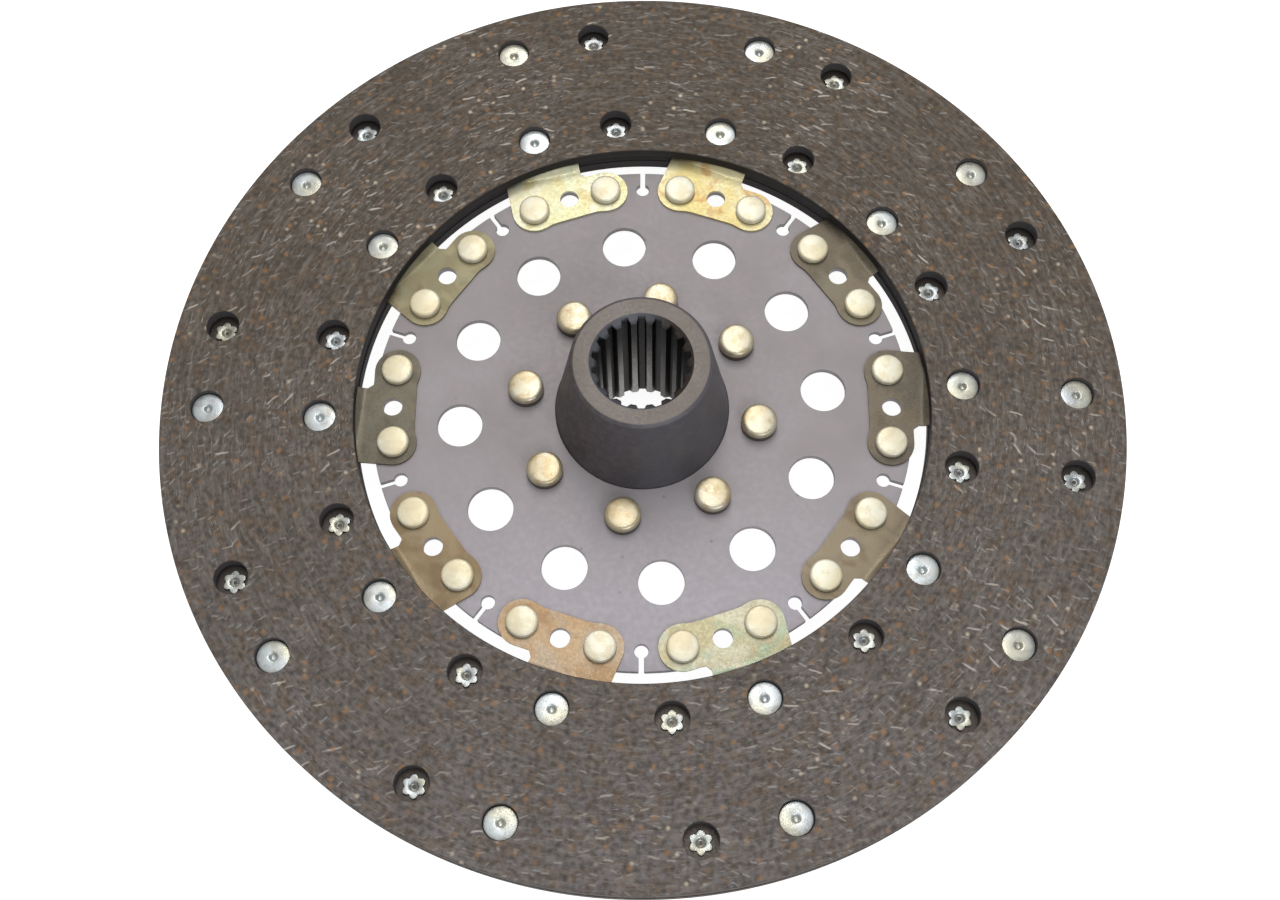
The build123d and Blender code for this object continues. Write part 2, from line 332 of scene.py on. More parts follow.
segmentSettings = {
    "lobeRadius": 8.5,
    "webRecess": 1.1,             # the foot's inner side between its lobes, set back from them
    "webRounding": 1.4,
    "neckWidth": 29.2,
    "neckRounding": 2.2,
    "bendLength": 5.0,
    "bendInset": 2.0,             # the bend's end, outside the facings' inner edge
    "outerInset": 3.0,
    "innerInset": 1.5,
    "gapAngle": 1.4,
    "holeRadius": 3.6,
    "holeWindow": 6.2,
    "bevel": 0.12,
    "leftColumns": 11,            # columns of the foot: left end, window, right end
    "windowColumns": 13,
    "rightColumns": 17,
    "footRows": 9,
    "bendRows": 9,
    "sideColumns": (4, 26),       # more columns on the blade's left and right side
    "bladeRows": 18,
    "farAway": 50.0,              # moves an outline out of the way where it doesn't count
}


def softMin(a, b, rounding):
    # the smaller of two values, rounded over where they are nearly equal
    h = np.clip(0.5 + 0.5 * (b - a) / rounding, 0, 1)
    return b + (a - b) * h - rounding * h * (1 - h)


def segmentPatches():
    # one sheet in the blade's own frame, with the blade's centreline along +Y: the foot between its
    # lower and upper outline, the neck above it, and the blade with columns on lines from the axis
    s = segmentSettings
    lead = np.radians(discSizes["footLead"])
    spread = np.radians(discSizes["footRivetAngle"])
    left = polarPoint(footCircle, -lead - spread)
    right = polarPoint(footCircle, -lead + spread)
    hole = polarPoint(footCircle, -lead)
    lobe = s["lobeRadius"]
    neckLeft = left[0] - lobe
    neckRight = neckLeft + s["neckWidth"]
    tipRight = right[0] + lobe
    bendEnd = facingInner + s["bendInset"]
    bendStart = bendEnd - s["bendLength"]

    # columns: close together at the two round ends
    window = hole[0] - s["holeWindow"]
    ease = 1 - np.cos(np.linspace(0, np.pi / 2, s["leftColumns"]))
    xLeft = neckLeft + (window - neckLeft) * ease[:-1]
    xWindow = np.linspace(window, neckRight, s["windowColumns"])
    ease = np.sin(np.linspace(0, np.pi / 2, s["rightColumns"]))
    xRight = neckRight + (tipRight - neckRight) * ease[1:]
    x = np.concatenate([xLeft, xWindow, xRight])
    neckColumns = len(xLeft) + len(xWindow)

    def arc(centre, side):
        reach = np.clip(lobe ** 2 - (x - centre[0]) ** 2, 0, None)
        return centre[1] + side * np.sqrt(reach)

    def webLine(offset):
        # a line across the foot, square to the foot's own middle line
        return (footCircle * np.cos(spread) + offset + x * np.sin(lead)) / np.cos(lead)

    # lower outline: two lobes with the straight web between them; upper outline: web, then lobe
    far = s["farAway"]
    lobeLeft = np.where(np.abs(x - left[0]) <= lobe, arc(left, -1), far + arc(left, -1))
    lobeRight = np.where(np.abs(x - right[0]) <= lobe, arc(right, -1), far + arc(right, -1))
    web = webLine(s["webRecess"] - lobe)
    web = np.where((x > left[0]) & (x < right[0]), web, far + web)
    low = softMin(softMin(lobeLeft, web, s["webRounding"]), lobeRight, s["webRounding"])
    low = np.where(x < left[0], lobeLeft, np.where(x > right[0], lobeRight, low))
    top = np.where(x > right[0] - lobe * np.sin(lead), arc(right, 1), webLine(lobe))
    corner = np.clip(neckRight + s["neckRounding"] - x, 0, s["neckRounding"])
    top = top + s["neckRounding"] - np.sqrt(s["neckRounding"] ** 2 - corner ** 2)

    rows = s["footRows"]
    t = np.linspace(0, 1, rows)[:, None]
    foot = np.stack([np.broadcast_to(x, (rows, len(x))), low + (top - low) * t], -1)
    neckX = x[:neckColumns]
    bendY = np.linspace(bendStart, bendEnd, s["bendRows"])
    neckY = np.concatenate([top[None, :neckColumns], np.repeat(bendY[:, None], neckColumns, 1)])
    neck = np.stack([np.broadcast_to(neckX, neckY.shape), neckY], -1)

    # blade: columns go on outwards from the neck's end, and more columns fill its two sides
    outer, inner = facingOuter - s["outerInset"], facingInner + s["innerInset"]
    halfBlade = pitch / 2 - np.radians(s["gapAngle"]) / 2
    moreLeft, moreRight = s["sideColumns"]
    sideLeft = np.linspace(-bendEnd * np.tan(halfBlade), neckLeft, moreLeft)[:-1]
    startX = np.concatenate([sideLeft, neckX])
    start = np.stack([startX, np.full(len(startX), bendEnd)], -1)
    sideRight = np.linspace(np.arcsin(neckRight / inner), halfBlade, moreRight)[1:]
    start = np.concatenate([start, polarPoint(inner, sideRight)])
    angle = np.arctan2(start[:, 0], start[:, 1])
    first = np.linalg.norm(start, axis=1)
    t = np.linspace(0, 1, s["bladeRows"])[:, None]
    blade = polarPoint(first + (outer - first) * t, angle[None, :])

    def lifted(plan, bend):
        # from the foot, level with the troughs, up to the wave
        return np.dstack([plan, bend * (waveHeight(plan[..., 0]) + waveRise) - waveRise])

    def liftedFoot(plan):
        bend = np.clip((plan[..., 1] - bendStart) / (bendEnd - bendStart), 0, 1)
        return lifted(plan, bend ** 2 * (3 - 2 * bend))

    # the foot's sheet leaves out a window, and a band joins the window's edge to the foot hole
    first, last = len(xLeft), neckColumns - 1
    lowRow, highRow = 1, rows - 2
    points, faces = gridPatch(liftedFoot(foot))
    row, column = faces[:, 0] // len(x), faces[:, 0] % len(x)
    inside = (row >= lowRow) & (row < highRow) & (column >= first) & (column < last)
    edge = np.concatenate([foot[lowRow, first:last], foot[lowRow:highRow, last],
                           foot[highRow, last:first:-1], foot[highRow:lowRow:-1, first]])
    band = holeBand(edge, hole, [(None, -waveRise), (s["holeRadius"], -waveRise)])
    return [(points, faces[~inside]), band, gridPatch(liftedFoot(neck)), gridPatch(lifted(blade, 1.0))]


# hub

hubSettings = {
    "bossTip": 24.8,
    "bossRoot": 31.8,
    "flangeThickness": 6.0,
    "rearBoss": 27.0,
    "tipChamfer": 1.0,
    "rearChamfer": 1.5,
    "edge": 0.35,                 # small rounding of the turned edges
    "teeth": 18,
    "toothTip": 15.5,
    "toothHeight": 2.0,
    "spaceAtTip": 3.4,
    "spaceAtRoot": 2.1,
    "leadIn": 0.7,
    "columns": (3, 4, 4),         # along half a root, one flank and half a tip
    "leadInRows": 12,
    "boreRows": 8,
}
flangeBottom = carrierBottom - hubSettings["flangeThickness"]
toothRoot = hubSettings["toothTip"] + hubSettings["toothHeight"]
leadInRadius = toothRoot + hubSettings["leadIn"]


def splineColumns():
    # the angles of one tooth space and half a tooth on each side, with a column at each corner;
    # also the angles where the root line and the straight flank end
    s = hubSettings
    corner = np.arctan2(s["spaceAtRoot"] / 2, toothRoot)
    foot = np.arcsin(s["spaceAtTip"] / 2 / s["toothTip"])
    root, flank, tip = s["columns"]
    side = np.concatenate([np.linspace(0, corner, root), np.linspace(corner, foot, flank)[1:],
                           np.linspace(foot, np.pi / s["teeth"], tip)[1:]])
    return np.concatenate([-side[:0:-1], side[:-1]]), corner, foot


def splineRadius(angle):
    # straight root line, straight flank from the root's corner to the teeth's tip circle, tip circle
    s = hubSettings
    corner, foot = splineColumns()[1:]
    a = np.abs((angle + np.pi / s["teeth"]) % (turn / s["teeth"]) - np.pi / s["teeth"])
    rootCorner = np.array([s["spaceAtRoot"] / 2, toothRoot])
    flank = polarPoint(s["toothTip"], foot) - rootCorner
    normal = np.array([-flank[1], flank[0]])
    onFlank = normal @ rootCorner / np.maximum(normal[0] * np.sin(a) + normal[1] * np.cos(a), 1e-6)
    return np.where(a <= corner, toothRoot / np.cos(a), np.where(a < foot, onFlank, s["toothTip"]))


def hubPatches():
    # outside: a turned profile; bore: the larger of the spline's radius and the lead-in cone's
    s = hubSettings
    columns = splineColumns()[0]
    angles = (columns[None, :] + turn * np.arange(s["teeth"])[:, None] / s["teeth"]).ravel()
    taper = (s["bossRoot"] - s["bossTip"]) / (hubTop - carrierTop)
    chamfer, rearChamfer = s["tipChamfer"], s["rearChamfer"]
    corners = [(leadInRadius, hubBottom, False), (s["rearBoss"] - rearChamfer, hubBottom, True),
               (s["rearBoss"], hubBottom + rearChamfer, True), (s["rearBoss"], flangeBottom, False),
               (hubFlange, flangeBottom, True), (hubFlange, carrierBottom, True),
               (s["bossRoot"], carrierBottom, False), (s["bossRoot"], carrierTop, False),
               (s["bossTip"] + taper * chamfer, hubTop - chamfer, True),
               (s["bossTip"] - chamfer, hubTop, True), (leadInRadius, hubTop, False)]
    outside = roundedProfile(corners, s["edge"])
    ends = np.linspace(0, leadInRadius - s["toothTip"], s["leadInRows"])
    between = np.linspace(hubTop, hubBottom, s["boreRows"])[1:-1]
    height = np.concatenate([hubTop - ends, between, hubBottom + ends[::-1]])
    cone = leadInRadius - np.minimum(hubTop - height, height - hubBottom)
    radius = np.maximum(splineRadius(angles)[None, :], cone[:, None])
    plan = polarPoint(radius, angles[None, :])
    bore = np.dstack([plan, np.broadcast_to(height[:, None], radius.shape)])
    return [latheStrip(outside, angles), gridPatch(bore, closedColumns=True)]


# rivets

rivetSettings = {
    "facing": {"head": 5.8, "headHeight": 1.2, "shank": 2.5, "tail": 4.3, "tailHeight": 1.0, "columns": 48},
    "dimple": {"radius": 1.25, "floor": 0.7, "waist": 0.9, "depth": 1.7, "waistDepth": 0.5, "lipWidth": 0.4,
               "lipDepth": 0.05, "edgeDrop": 0.15, "rounding": 0.4},
    "roll": {"rim": 0.7, "throat": 0.4, "rimDrop": 0.15, "throatRise": 0.1, "rounding": 0.45,
             "petals": 6, "petalDepth": 0.34, "petalSlope": 1.5},
    "segment": {"head": 5.8, "headHeight": 2.8, "shank": 3.0, "tail": 4.8, "tailHeight": 1.5,
                "rise": 0.3, "rounding": 1.0, "columns": 40},
    "hub": {"head": 6.6, "headHeight": 5.4, "shank": 4.0, "tail": 6.5, "tailHeight": 3.0,
            "rise": 0.35, "rounding": 1.5, "columns": 48, "count": 8, "start": 9.0, "offset": 11.5},
    "solid": {"domeReach": 0.4, "domeDrop": 0.2, "steps": 6, "tailSide": 0.96, "tailShoulder": 0.4,
              "tailFlat": 0.6, "tailRounding": 0.9},
}


def facingRivetProfile(side):
    # pan head with a dimple, shank, and a hollow end rolled outwards and split into petals; a petal's
    # notch is petalDepth * (1 - petalSlope * (1 - radius / tail)) squared, and 0 nearer the middle
    s, dimple, roll = rivetSettings["facing"], rivetSettings["dimple"], rivetSettings["roll"]
    seat = facingBottom + facingSettings["seatFloor"]
    top = seat + s["headHeight"]
    bladeFace = facingBottom - discSizes["bladeSheet"]
    end = bladeFace - s["tailHeight"]
    hollow = top - dimple["depth"]
    head = [(0, hollow, False), (dimple["radius"] * dimple["floor"], hollow, True),
            (dimple["radius"] * dimple["waist"], top - dimple["waistDepth"], True),
            (dimple["radius"] + dimple["lipWidth"], top - dimple["lipDepth"], True),
            (s["head"], top - dimple["edgeDrop"], True), (s["head"], seat, True), (s["shank"], seat, False)]
    head = roundedProfile(head, dimple["rounding"])
    tail = [(s["shank"], bladeFace, False), (s["tail"], bladeFace, True), (s["tail"], end, True),
            (s["shank"] * roll["rim"], end + roll["rimDrop"], True),
            (s["shank"] * roll["throat"], bladeFace, True), (0, bladeFace + roll["throatRise"], False)]
    tail = roundedProfile(tail, roll["rounding"])
    depth = np.clip(1 - roll["petalSlope"] * (1 - tail[:, 0] / s["tail"]), 0, 1)
    notch = roll["petalDepth"] * depth ** 2
    notch[0] = 0
    return np.concatenate([head, tail]) * (1, side), np.concatenate([np.zeros(len(head)), notch])


def solidRivetProfile(kind, headSeat, tailSeat):
    # a slightly domed head that rolls over at its edge, shank and flatter tail
    s, both = rivetSettings[kind], rivetSettings["solid"]
    top = headSeat + s["headHeight"]
    end = tailSeat - s["tailHeight"]
    head = [(0, top, False), (s["head"] * both["domeReach"], top - s["rise"] * both["domeDrop"], True),
            (s["head"], top - s["rise"], True), (s["head"], headSeat, False), (s["shank"], headSeat, False)]
    tail = [(s["shank"], tailSeat, False), (s["tail"], tailSeat, False),
            (s["tail"] * both["tailSide"], end + s["tailHeight"] * both["tailShoulder"], True),
            (s["tail"] * both["tailFlat"], end, True), (0, end, False)]
    return np.concatenate([roundedProfile(head, s["rounding"], both["steps"]),
                           roundedProfile(tail, both["tailRounding"])])


# finishes

def addNode(tree, kind, inputs=None, **settings):
    # a socket given as a value is linked, and any other value is set on the node's own socket
    node = tree.nodes.new(kind)
    for name, value in settings.items():
        setattr(node, name, value)
    for name, value in (inputs or {}).items():
        if isinstance(value, bpy.types.NodeSocket):
            tree.links.new(value, node.inputs[name])
        else:
            node.inputs[name].default_value = value
    return node


def calc(tree, operation, first, second=0.0):
    return addNode(tree, "ShaderNodeMath", {0: first, 1: second}, operation=operation).outputs["Value"]


def times(tree, first, second):
    return calc(tree, "MULTIPLY", first, second)


def ranged(tree, value, low, high, newLow=0.0, newHigh=1.0, kind="LINEAR"):
    ends = {"Value": value, "From Min": low, "From Max": high, "To Min": newLow, "To Max": newHigh}
    return addNode(tree, "ShaderNodeMapRange", ends, interpolation_type=kind).outputs["Result"]


def vectorMath(tree, operation, inputs, output="Vector"):
    return addNode(tree, "ShaderNodeVectorMath", inputs, operation=operation).outputs[output]


def parts(tree, vector):
    return addNode(tree, "ShaderNodeSeparateXYZ", {"Vector": vector}).outputs


def newGroup(name, inputs):
    # a group with one vector input, the named numbers and one mask
    group = bpy.data.node_groups.new(name, "ShaderNodeTree")
    group.interface.new_socket("Vector", in_out="INPUT", socket_type="NodeSocketVector")
    for label, value in inputs.items():
        socket = group.interface.new_socket(label, in_out="INPUT", socket_type="NodeSocketFloat")
        socket.default_value = value
    group.interface.new_socket("Mask", in_out="OUTPUT", socket_type="NodeSocketFloat")
    return group, addNode(group, "NodeGroupInput").outputs, addNode(group, "NodeGroupOutput").inputs


def buildStain():
    # cloudy noise squeezed between two levels
    start = {"Scale": 1.0, "Low": 0.4, "High": 0.6, "Detail": 3.0, "Warp": 0.0}
    group, given, result = newGroup("cloudyStain", start)
    noise = addNode(group, "ShaderNodeTexNoise", {"Vector": given["Vector"], "Scale": given["Scale"],
                                                  "Detail": given["Detail"], "Distortion": given["Warp"]})
    mask = ranged(group, noise.outputs["Fac"], given["Low"], given["High"], kind="SMOOTHSTEP")
    group.links.new(mask, result["Mask"])
    return group


fibreSettings = {"swayScale": 0.3, "sway": 1.2, "lean": 0.6, "shortest": 0.4, "faintest": 0.25,
                 "softEnd": 0.6, "softSide": 0.3}


def buildFibres():
    # one thin fibre in each cell of a flat cell pattern: its angle to X is lean times the sine of the
    # cell's angle round the axis, and a random part of the spread; a share of the cells has one
    s = fibreSettings
    start = {"Scale": 0.2, "Share": 0.4, "Length": 2.0, "Width": 0.25, "Spread": 1.5}
    group, given, result = newGroup("shortFibres", start)
    sway = addNode(group, "ShaderNodeTexNoise", {"Vector": given["Vector"], "Scale": s["swayScale"],
                                                 "Detail": 1.0})
    push = vectorMath(group, "SCALE", {0: sway.outputs["Color"], "Scale": s["sway"]})
    bent = vectorMath(group, "ADD", {0: given["Vector"], 1: push})
    cells = addNode(group, "ShaderNodeTexVoronoi", {"Vector": bent, "Scale": given["Scale"]},
                    voronoi_dimensions="2D")
    number = addNode(group, "ShaderNodeSeparateColor", {"Color": cells.outputs["Color"]}).outputs
    near = vectorMath(group, "SUBTRACT", {0: bent, 1: cells.outputs["Position"]})
    spot = parts(group, cells.outputs["Position"])
    around = calc(group, "ARCTAN2", spot["X"], spot["Y"])
    lean = times(group, calc(group, "SINE", around), s["lean"])
    ownPart = times(group, calc(group, "SUBTRACT", number["Red"], 0.5), given["Spread"])
    own = addNode(group, "ShaderNodeVectorRotate", {"Vector": near,
                  "Angle": calc(group, "ADD", lean, ownPart)}, rotation_type="Z_AXIS")
    place = parts(group, own.outputs["Vector"])
    reach = times(group, given["Length"], ranged(group, number["Blue"], 0, 1, s["shortest"], 1.0))
    along = ranged(group, calc(group, "ABSOLUTE", place["X"]), reach, times(group, reach, s["softEnd"]))
    thin = ranged(group, calc(group, "ABSOLUTE", place["Y"]), given["Width"],
                  times(group, given["Width"], s["softSide"]))
    chosen = calc(group, "LESS_THAN", number["Green"], given["Share"])
    tone = times(group, chosen, ranged(group, number["Blue"], 0, 1, s["faintest"], 1.0))
    group.links.new(times(group, times(group, along, thin), tone), result["Mask"])
    return group


def buildFlecks():
    # round chips: cells whose own random number is under the share, near their middle
    group, given, result = newGroup("roundFlecks", {"Scale": 1.0, "Share": 0.1, "Size": 0.3})
    cells = addNode(group, "ShaderNodeTexVoronoi", {"Vector": given["Vector"], "Scale": given["Scale"]})
    number = addNode(group, "ShaderNodeSeparateColor", {"Color": cells.outputs["Color"]}).outputs
    chosen = calc(group, "LESS_THAN", number["Red"], given["Share"])
    near = ranged(group, cells.outputs["Distance"], given["Size"], 0.0, kind="SMOOTHSTEP")
    group.links.new(times(group, chosen, near), result["Mask"])
    return group


streakSettings = {"circle": 30.0, "noise": {"Detail": 4.0, "Roughness": 0.65, "Distortion": 0.6}}


def buildStreaks():
    # noise drawn out along the ring: (x, y) shrunk to a small circle, and the distance from the axis
    group, given, result = newGroup("ringStreaks", {"Scale": 1.0, "Low": 0.4, "High": 0.6})
    flat = vectorMath(group, "MULTIPLY", {0: given["Vector"], 1: (1, 1, 0)})
    radius = vectorMath(group, "LENGTH", {0: flat}, "Value")
    unit = vectorMath(group, "NORMALIZE", {0: flat})
    circle = vectorMath(group, "SCALE", {0: unit, "Scale": streakSettings["circle"]})
    level = addNode(group, "ShaderNodeCombineXYZ", {"Z": radius})
    spot = vectorMath(group, "ADD", {0: circle, 1: level.outputs["Vector"]})
    noise = addNode(group, "ShaderNodeTexNoise", {"Vector": spot, "Scale": given["Scale"],
                                                  **streakSettings["noise"]})
    mask = ranged(group, noise.outputs["Fac"], given["Low"], given["High"], kind="SMOOTHSTEP")
    group.links.new(mask, result["Mask"])
    return group


sharedGroups = (buildStain(), buildFibres(), buildFlecks(), buildStreaks())
print("shared effects ready")


def useGroup(tree, group, where, **inputs):
    return addNode(tree, "ShaderNodeGroup", {"Vector": where, **inputs}, node_tree=group).outputs["Mask"]


def effects(tree, where):
    # stain, fibre, fleck and streak, ready to give a mask for their named inputs
    return [partial(useGroup, tree, group, where) for group in sharedGroups]


def mixColour(tree, factor, *colours):
    # the node's colour inputs are sockets 6 and 7, and its colour output is 2
    first, second = (c if isinstance(c, bpy.types.NodeSocket) else (*c, 1.0) for c in colours)
    return addNode(tree, "ShaderNodeMix", {0: factor, 6: first, 7: second}, data_type="RGBA").outputs[2]


def layered(tree, colour, *layers):
    # lays each (mask, strength, colour) over the ones before it
    for mask, strength, layer in layers:
        colour = mixColour(tree, times(tree, mask, strength), colour, layer)
    return colour


def newMaterial(name, metallic=0.0):
    # returns the material, its tree, its shader and the Object coordinates in mm
    material = bpy.data.materials.new(name)
    material.use_nodes = True
    tree = material.node_tree
    shader = tree.nodes["Principled BSDF"]
    shader.inputs["Metallic"].default_value = metallic
    place = addNode(tree, "ShaderNodeTexCoord")
    inMm = addNode(tree, "ShaderNodeMapping", {"Vector": place.outputs["Object"], "Scale": (1 / mm,) * 3})
    return material, tree, shader, inMm.outputs["Vector"]


def fromAxis(tree, where):
    # distance from the disc's axis, and height
    flat = vectorMath(tree, "MULTIPLY", {0: where, 1: (1, 1, 0)})
    return vectorMath(tree, "LENGTH", {0: flat}, "Value"), parts(tree, where)["Z"]


def bump(tree, shader, height, distance, strength=0.4):
    inputs = {"Height": height, "Distance": distance * mm, "Strength": strength}
    normal = addNode(tree, "ShaderNodeBump", inputs).outputs["Normal"]
    tree.links.new(normal, shader.inputs["Normal"])


def finish(tree, shader, colour, grain, roughness, relief):
    # the colour, and a fine grain in the roughness, between its two ends, and in the relief
    tree.links.new(colour, shader.inputs["Base Color"])
    tree.links.new(ranged(tree, grain, 0, 1, *roughness), shader.inputs["Roughness"])
    bump(tree, shader, grain, relief)


frictionLook = {
    "warm": ((0.1, 0.079, 0.058), (0.122, 0.098, 0.074)),
    "grey": ((0.15, 0.13, 0.124), (0.182, 0.164, 0.164)),
    "turnsGrey": (60, -150),      # along Y
    "scuffs": (0.2, 1.0),         # how far it is rubbed, between scuffs and in them
    "rubbing": (-60, 130, 0.7),   # along Y, from this share of it up to all of it
    "faceEdge": 0.1,              # three depths under a face
    "fibreEnd": 0.5,
    "wallStart": 0.6,
    "outerWall": (0.2, 0.8),      # painted shade in the holes: they lie further inside the outer edge than this
    "innerWall": (0.8, 0.3),      # painted near-black shade on the inner wall, which lies nearer to the inner edge than this
    "shine": (0, 0.8, 0.8, 0.6),  # from no fibre to a bright one, and the roughness of each
    "grainRelief": 0.5,           # against the pits'
    "relief": (0.12, 0.5),
}


def frictionMaterial():
    # ground face with brown and grey grain, pale fibres, scuffs and brass chips; painted shade darkens the
    # walls, the inner wall nearly black
    s = frictionLook
    material, tree, shader, where = newMaterial("groundFriction")
    stain, fibre, fleck, streak = effects(tree, where)
    cloud = stain(Scale=0.02, Low=0.3, High=0.7, Warp=0.6)
    blotch = stain(Scale=0.26, Low=0.42, High=0.68, Detail=4.0)
    grain = stain(Scale=0.5, Low=0.3, High=0.7, Detail=5.0)
    streaks = streak(Scale=0.7, Low=0.44, High=0.7)
    wisps = streak(Scale=1.3, Low=0.56, High=0.74)
    scuffs = stain(Scale=0.022, Low=0.46, High=0.62, Detail=2.0)
    fibres = fibre(Scale=0.14, Share=0.5, Length=3.2, Width=0.46, Spread=0.8)
    threads = fibre(Scale=0.28, Share=0.38, Length=1.8, Width=0.4, Spread=1.1)
    chips = fleck(Scale=0.26, Share=0.26, Size=0.42)
    pale = fleck(Scale=0.34, Share=0.12, Size=0.42)
    pits = fleck(Scale=0.4, Share=0.38, Size=0.6)
    ahead = parts(tree, where)["Y"]
    radius, height = fromAxis(tree, where)
    level = calc(tree, "ABSOLUTE", height)
    face = ranged(tree, level, facingTop - s["fibreEnd"], facingTop - s["faceEdge"])
    # painted shade: the walls are darkened, the holes' walls to a dark grey and the inner wall nearly black
    wallShade = ranged(tree, level, facingTop - s["faceEdge"], facingTop - s["wallStart"])
    holeWallShade = times(tree, wallShade, ranged(tree, radius, *(facingOuter - inside for inside in s["outerWall"])))
    inner = times(tree, wallShade, ranged(tree, radius, *(facingInner + inside for inside in s["innerWall"])))
    rubbed = times(tree, ranged(tree, scuffs, 0, 1, *s["scuffs"]), ranged(tree, ahead, *s["rubbing"]))
    bright = times(tree, times(tree, fibres, rubbed), face)
    warm, grey = mixColour(tree, cloud, *s["warm"]), mixColour(tree, cloud, *s["grey"])
    colour = mixColour(tree, ranged(tree, ahead, *s["turnsGrey"]), warm, grey)
    colour = layered(tree, colour, (blotch, 0.6, (0.165, 0.1, 0.05)),
                     (grain, 0.75, (0.052, 0.041, 0.032)), (streaks, 0.5, (0.24, 0.215, 0.195)),
                     (wisps, rubbed, (0.46, 0.43, 0.41)),
                     (times(tree, threads, face), 0.55, (0.38, 0.36, 0.34)),
                     (bright, 1.0, (0.62, 0.57, 0.51)), (pale, rubbed, (0.72, 0.6, 0.46)),
                     (chips, 0.65, (0.36, 0.18, 0.065)), (pits, 0.55, (0.036, 0.03, 0.026)),
                     # painted shade on the walls of the ring and its holes
                     (wallShade, 0.5, (0.055, 0.045, 0.037)), (holeWallShade, 1.0, (0.075, 0.068, 0.07)),
                     (inner, 1.0, (0.014, 0.011, 0.01)))
    tree.links.new(colour, shader.inputs["Base Color"])
    tree.links.new(ranged(tree, bright, *s["shine"]), shader.inputs["Roughness"])
    relief = calc(tree, "SUBTRACT", times(tree, grain, s["grainRelief"]), pits)
    bump(tree, shader, relief, *s["relief"])
    return material


def carrierMaterial():
    # matt phosphate, a little cloudy, with a few dark spots, and paler towards -Y as a painted fill light
    material, tree, shader, where = newMaterial("phosphatedPlate", metallic=0.3)
    stain, _, fleck, _ = effects(tree, where)
    cloud = stain(Scale=0.03, Low=0.3, High=0.7)
    grain = stain(Scale=0.5, Low=0.3, High=0.7, Detail=5.0)
    blush = stain(Scale=0.09, Low=0.4, High=0.7)
    spots = fleck(Scale=0.13, Share=0.3, Size=0.13)
    # painted fill light from the front: paler and cooler towards -Y
    paintedFillLight = ranged(tree, parts(tree, where)["Y"], -15, -75)
    colour = mixColour(tree, cloud, (0.29, 0.262, 0.268), (0.35, 0.322, 0.338))
    colour = layered(tree, colour, (blush, 0.5, (0.345, 0.3, 0.31)), (grain, 0.28, (0.44, 0.42, 0.42)),
                     (paintedFillLight, 0.8, (0.44, 0.41, 0.45)), (spots, 0.6, (0.12, 0.1, 0.11)))
    finish(tree, shader, colour, grain, (0.52, 0.64), 0.03)
    return material


segmentLook = {
    "shift": (31.0, 17.0, 0.0),   # moves the stains on from one segment to the next
    "facingShadeDepth": 1.5,             # depth of the painted shade, inside the facings' inner edge
    # colour of the painted shade between the facings
    "facingShadeColour": (0.1, 0.085, 0.075),
    "glint": (0.9, 0.85, 0.7),
}


def segmentMaterial(number, main, second, blot, sheen):
    # passivated spring steel with its own colours; painted shade darkens it between the facings
    s = segmentLook
    material, tree, shader, where = newMaterial(f"passivatedSteel{number:02}", metallic=0.6)
    shift = [number * step for step in s["shift"]]
    moved = addNode(tree, "ShaderNodeMapping", {"Vector": where, "Location": shift}).outputs["Vector"]
    stain = effects(tree, moved)[0]
    cloud = stain(Scale=0.055, Low=0.42, High=0.58, Warp=0.8)
    blots = stain(Scale=0.11, Low=0.52, High=0.66, Detail=5.0, Warp=0.5)
    bands = stain(Scale=0.07, Low=0.5, High=0.7, Detail=1.0, Warp=1.2)
    grain = stain(Scale=1.2, Low=0.3, High=0.7, Detail=4.0)
    # painted shade where the blade runs in between the facings
    facingShade = ranged(tree, fromAxis(tree, where)[0], facingInner, facingInner + s["facingShadeDepth"])
    colour = layered(tree, mixColour(tree, cloud, main, second), (blots, 0.8, blot), (bands, 0.55, sheen),
                     (grain, 0.05, s["glint"]), (facingShade, 1.0, s["facingShadeColour"]))
    finish(tree, shader, colour, grain, (0.36, 0.48), 0.015)
    return material


hubLook = {
    "sideLightAlongX": (-30, 2),        # along X, from painted shade on the brown side to painted fill light on the blue-grey side
    # the two colours of the painted shade and fill light on the sides
    "shadedSideColour": (0.062, 0.046, 0.042),
    "fillLitSideColour": (0.104, 0.097, 0.115),
    "endFaceDepth": (0.12, 0.04),
    "leadInShade": (2, 11),       # along X, from a painted bluish reflection to painted shade
    "leadInEdge": 0.1,
    "boreDepth": (1.6, 3.2),      # under the end face
    "boreWall": (0.3, 0.1),       # outside the root circle
    "tipDepth": (1.4, 1.9),       # inside the root circle
    "tipLightFromRear": (12, 48, 0.1),   # painted light on the tips, under the end face, from this share of their brightness to all
    "tipsShade": (9, 0, 0.15),    # along X, likewise
    "boreMetallic": (0.45, 1.0),
}


